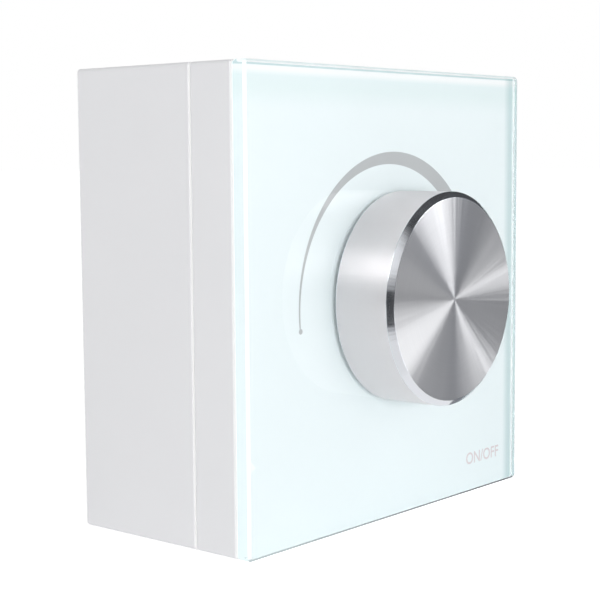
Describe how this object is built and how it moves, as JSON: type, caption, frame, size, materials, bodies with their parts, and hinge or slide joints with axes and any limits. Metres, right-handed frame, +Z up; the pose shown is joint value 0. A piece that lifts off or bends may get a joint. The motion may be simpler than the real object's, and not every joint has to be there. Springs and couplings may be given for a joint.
{
  "type": "smart dimmer switch",
  "caption": "Square surface-mounted wall dimmer with a white glass panel and a round metal knob that turns without end to set the level and is pushed to switch on and off.",
  "frame": {"origin": "centre of the back face that meets the wall", "axes": "+Y out of the back, towards the wall, so the front looks along -Y; +Z up; +X to the right as seen from the front"},
  "size_m": [0.086, 0.0549, 0.086],
  "materials": {
    "white_plastic": "fine satin moulding",
    "clear_glass": "polished, ground edges",
    "white_print": "opaque screen print",
    "grey_print": "opaque screen print",
    "spun_aluminium": "satin, turned face",
    "white_foam": "white silicone foam",
    "grey_fibre": "pressed fibre",
    "plated_steel": "zinc plated",
    "spring_steel": "bright",
    "turned_brass": "turned",
    "black_plastic": "moulded",
    "natural_plastic": "moulded",
    "green_terminal": "moulded",
    "board_laminate": "solder mask",
    "yellow_case": "cast",
    "dark_sleeve": "shrunk film",
    "ferrite": "pressed",
    "copper_wire": "enamelled",
    "plain_aluminium": "folded sheet"
  },
  "bodies": {
    "housing": {"back_box": "white_plastic", "box_inserts": "turned_brass", "box_seal": "white_foam", "panel_frame": "white_plastic", "mounting_screws": "plated_steel", "glass_gasket": "white_foam", "glass_print": "white_print", "level_arc": "grey_print", "glass_panel": "clear_glass", "fibre_washer": "grey_fibre", "steel_washer": "plated_steel", "bush_nut": "plated_steel", "encoder_bush": "plated_steel", "encoder_body": "black_plastic", "encoder_pins": "plated_steel", "switch_dome": "spring_steel", "circuit_board": "board_laminate", "module_case": "white_plastic", "case_screws": "plated_steel", "terminal_block": "green_terminal", "terminal_cages": "turned_brass", "terminal_screws": "plated_steel", "film_capacitor": "yellow_case", "storage_capacitor": "dark_sleeve", "choke_core": "ferrite", "choke_winding": "copper_wire", "fuse": "black_plastic", "power_transistors": "black_plastic", "heat_spreader": "plain_aluminium", "radio_board": "board_laminate", "radio_shield": "plated_steel", "controller_chip": "black_plastic"},
    "rotor": {"encoder_rotor": "natural_plastic"},
    "knob": {"encoder_shaft": "plated_steel", "knob_cap": "spun_aluminium", "knob_core": "natural_plastic", "hub_spring": "spring_steel"},
    "plunger": {"switch_plunger": "natural_plastic"}
  },
  "joints": [
    {"name": "knob_turn", "type": "hinge", "parent": "housing", "child": "rotor", "pos_m": [0, -0.0339, 0], "axis": [0, 1, 0], "continuous": true},
    {"name": "knob_push", "type": "slide", "parent": "rotor", "child": "knob", "axis": [0, 1, 0], "range_m": [0, 0.0005], "stiffness_N_per_m": 2000, "springref_m": -0.002},
    {"name": "plunger_push", "type": "slide", "parent": "housing", "child": "plunger", "axis": [0, 1, 0], "range_m": [0, 0.0005], "deforming": ["switch_dome"]}
  ],
  "couplings": [
    {"joint": "plunger_push", "follows": "knob_push", "ratio": 1}
  ]
}
